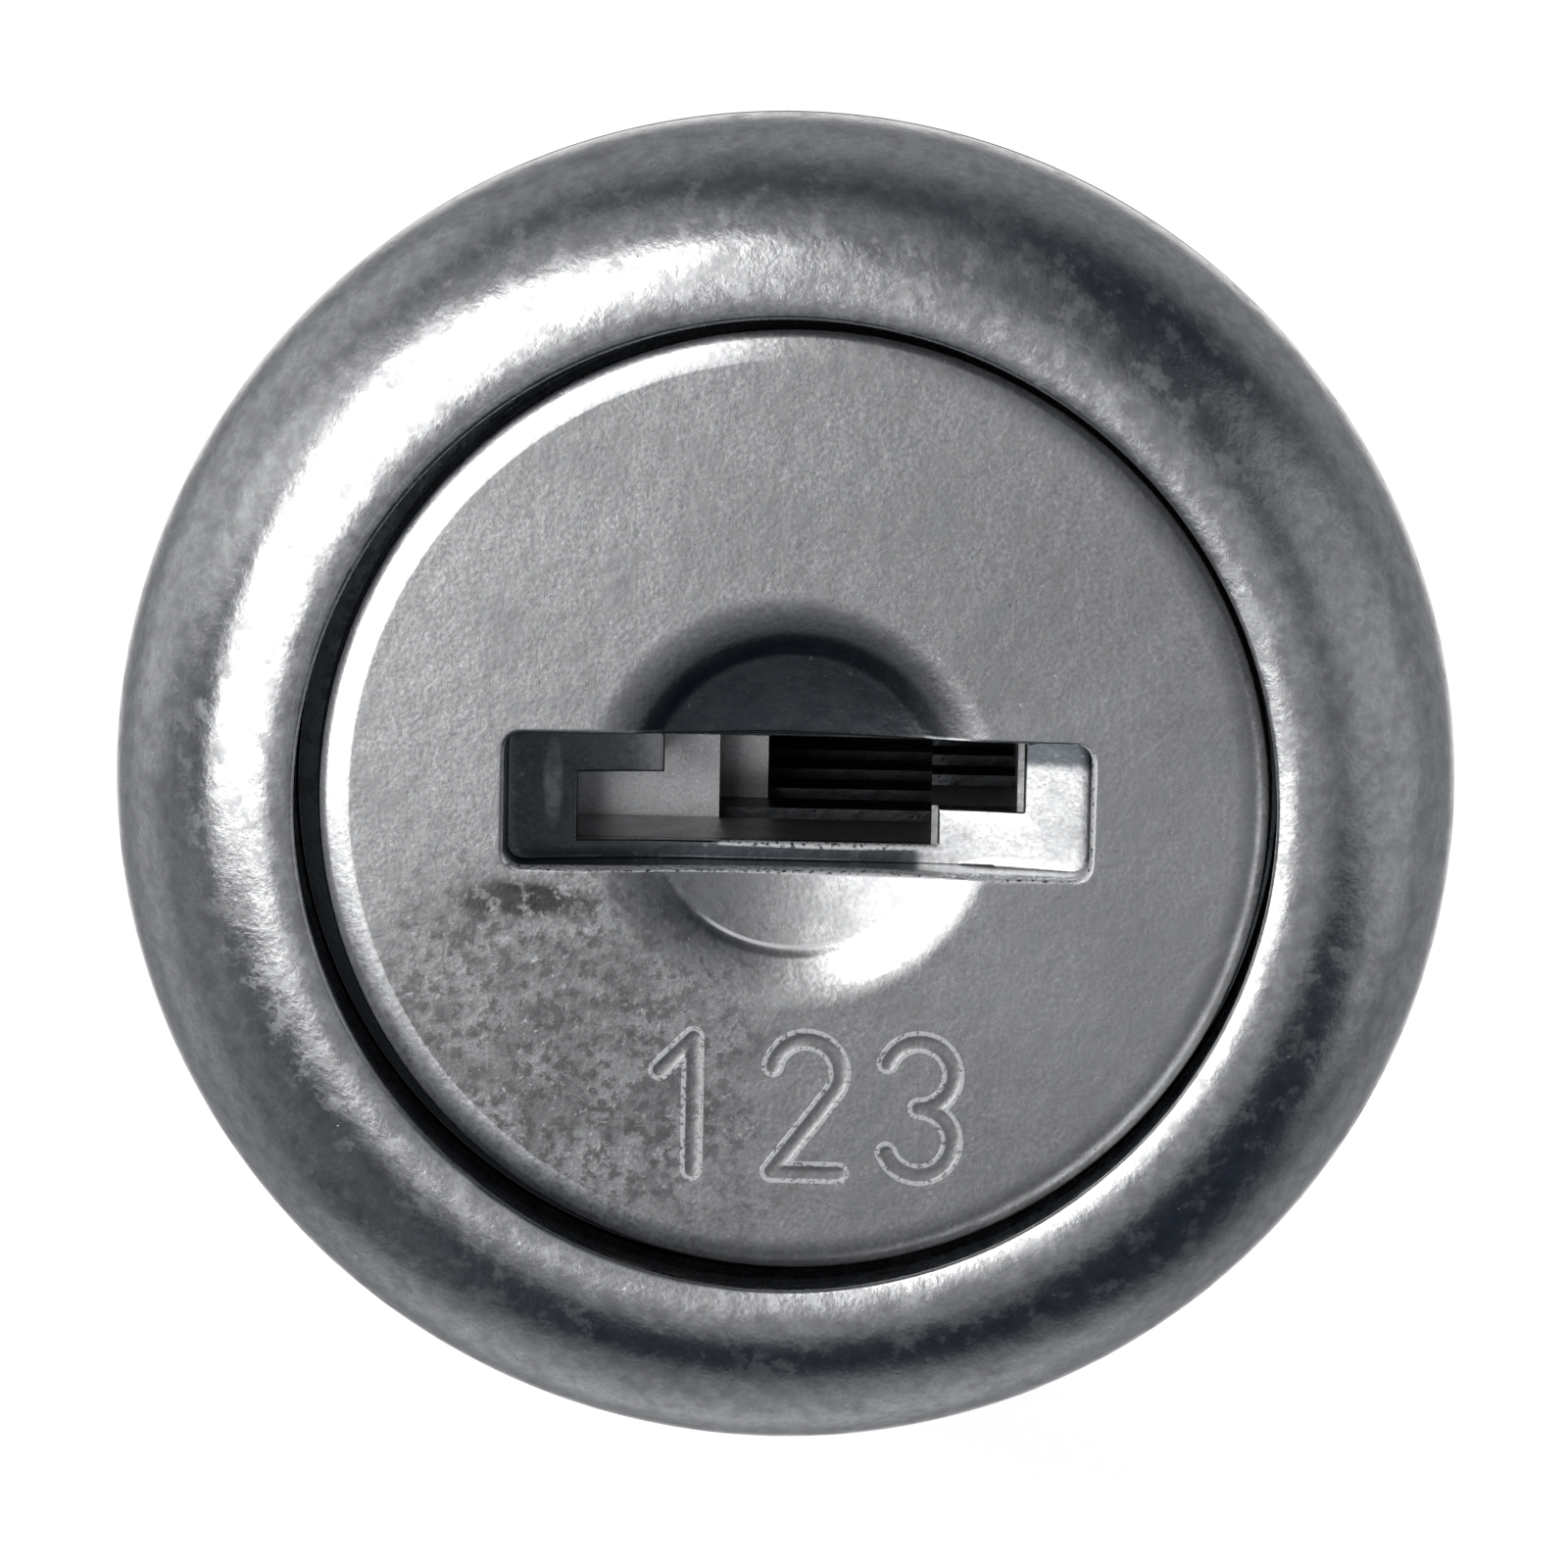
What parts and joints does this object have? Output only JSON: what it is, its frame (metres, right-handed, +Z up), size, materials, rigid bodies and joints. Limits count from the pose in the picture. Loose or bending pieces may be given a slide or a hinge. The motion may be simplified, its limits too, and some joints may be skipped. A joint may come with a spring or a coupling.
{
  "type": "tool chest lock",
  "caption": "Round cam lock for a tool chest: domed bezel, turning plug with sprung wafers and a flat key slot, threaded double-D barrel, nut and a cam behind.",
  "frame": {"origin": "centre of the bezel's flat back, on the lock's axis, in the plane of the panel's outside", "axes": "-Y is out of the panel towards the user, +Y along the barrel to the cam, +X to the user's right, +Z up with the key slot lying level"},
  "size_m": [0.022, 0.0289, 0.0265],
  "materials": {
    "housing_zinc": "die-cast zinc, satin nickel plated, fine grain",
    "plug_zinc": "die-cast zinc, dull nickel plated, slightly pitted",
    "wafer_brass": "stamped brass, nickel plated, matt",
    "spring_steel": "drawn spring wire, bright",
    "cam_steel": "stamped steel, zinc plated",
    "nut_steel": "turned steel, nickel plated",
    "washer_steel": "spring steel, zinc plated",
    "screw_steel": "steel, zinc plated"
  },
  "bodies": {
    "housing": {"housing": "housing_zinc", "mounting_nut": "nut_steel", "toothed_washer": "washer_steel"},
    "plug": {"plug": "plug_zinc", "stop_washer": "cam_steel", "cam": "cam_steel", "split_washer": "washer_steel", "cam_screw": "screw_steel", "retainer_spring": "spring_steel", "wafer_spring_1": "spring_steel", "wafer_spring_2": "spring_steel", "wafer_spring_3": "spring_steel", "wafer_spring_4": "spring_steel", "wafer_spring_5": "spring_steel", "wafer_spring_6": "spring_steel"},
    "wafer_1": {"wafer_1": "wafer_brass"},
    "wafer_2": {"wafer_2": "wafer_brass"},
    "wafer_3": {"wafer_3": "wafer_brass"},
    "wafer_4": {"wafer_4": "wafer_brass"},
    "wafer_5": {"wafer_5": "wafer_brass"},
    "wafer_6": {"wafer_6": "wafer_brass"},
    "retainer": {"retainer_plate": "wafer_brass"}
  },
  "joints": [
    {"name": "plug_turn", "type": "hinge", "parent": "housing", "child": "plug", "pos_m": [0, 0, 0], "axis": [0, 1, 0], "range_deg": [0, 90]},
    {"name": "wafer_1_slide", "type": "slide", "parent": "plug", "child": "wafer_1", "axis": [1, 0, 0], "range_m": [-0.00105, 0.00065], "stiffness_N_per_m": 150, "springref_m": 0.0015, "deforming": ["wafer_spring_1"]},
    {"name": "wafer_2_slide", "type": "slide", "parent": "plug", "child": "wafer_2", "axis": [1, 0, 0], "range_m": [-0.00105, 0.00065], "stiffness_N_per_m": 150, "springref_m": 0.0015, "deforming": ["wafer_spring_2"]},
    {"name": "wafer_3_slide", "type": "slide", "parent": "plug", "child": "wafer_3", "axis": [1, 0, 0], "range_m": [-0.00105, 0.00065], "stiffness_N_per_m": 150, "springref_m": 0.0015, "deforming": ["wafer_spring_3"]},
    {"name": "wafer_4_slide", "type": "slide", "parent": "plug", "child": "wafer_4", "axis": [1, 0, 0], "range_m": [-0.00105, 0.00065], "stiffness_N_per_m": 150, "springref_m": 0.0015, "deforming": ["wafer_spring_4"]},
    {"name": "wafer_5_slide", "type": "slide", "parent": "plug", "child": "wafer_5", "axis": [1, 0, 0], "range_m": [-0.00105, 0.00065], "stiffness_N_per_m": 150, "springref_m": 0.0015, "deforming": ["wafer_spring_5"]},
    {"name": "wafer_6_slide", "type": "slide", "parent": "plug", "child": "wafer_6", "axis": [1, 0, 0], "range_m": [-0.00105, 0.00065], "stiffness_N_per_m": 150, "springref_m": 0.0015, "deforming": ["wafer_spring_6"]},
    {"name": "retainer_slide", "type": "slide", "parent": "plug", "child": "retainer", "axis": [1, 0, 0], "range_m": [-0.0005, 0], "stiffness_N_per_m": 200, "springref_m": 0.001, "deforming": ["retainer_spring"]}
  ]
}
